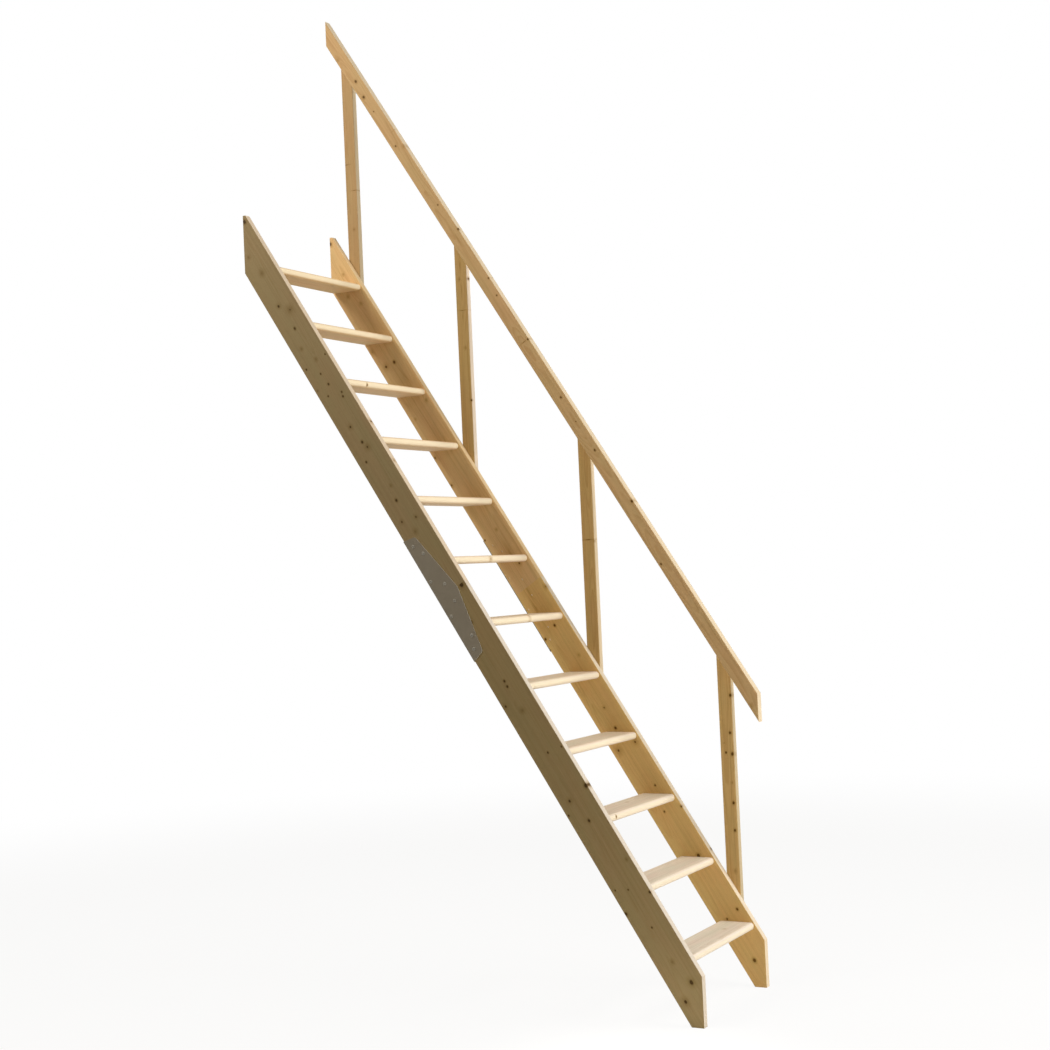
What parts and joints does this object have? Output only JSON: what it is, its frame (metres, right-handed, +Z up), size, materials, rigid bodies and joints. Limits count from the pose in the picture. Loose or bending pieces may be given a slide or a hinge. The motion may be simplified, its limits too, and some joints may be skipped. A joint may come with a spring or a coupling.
{
  "type": "straight open-riser loft stair",
  "caption": "Steep straight timber stair with open risers, treads housed between two strings, steel joint plates and a flat handrail on posts at one side.",
  "frame": {"origin": "middle of the left string's level foot, on the floor", "axes": "+X to the climber's right, +Y the way the climber goes, +Z up"},
  "size_m": [0.6305, 1.7876, 3.8426],
  "materials": {
    "string_wood": "planed, bare",
    "tread_wood": "planed, bare",
    "rail_wood": "planed, bare",
    "post_wood": "planed, bare",
    "joint_steel": "dull zinc coating"
  },
  "bodies": {
    "root": {"left_string_lower": "string_wood", "left_string_upper": "string_wood", "left_joint_plate": "joint_steel", "right_string_lower": "string_wood", "right_string_upper": "string_wood", "right_joint_plate": "joint_steel", "tread_01": "tread_wood", "tread_02": "tread_wood", "tread_03": "tread_wood", "tread_04": "tread_wood", "tread_05": "tread_wood", "tread_06": "tread_wood", "tread_07": "tread_wood", "tread_08": "tread_wood", "tread_09": "tread_wood", "tread_10": "tread_wood", "tread_11": "tread_wood", "tread_12": "tread_wood", "handrail": "rail_wood", "post_1": "post_wood", "post_2": "post_wood", "post_3": "post_wood", "post_4": "post_wood"}
  },
  "joints": []
}
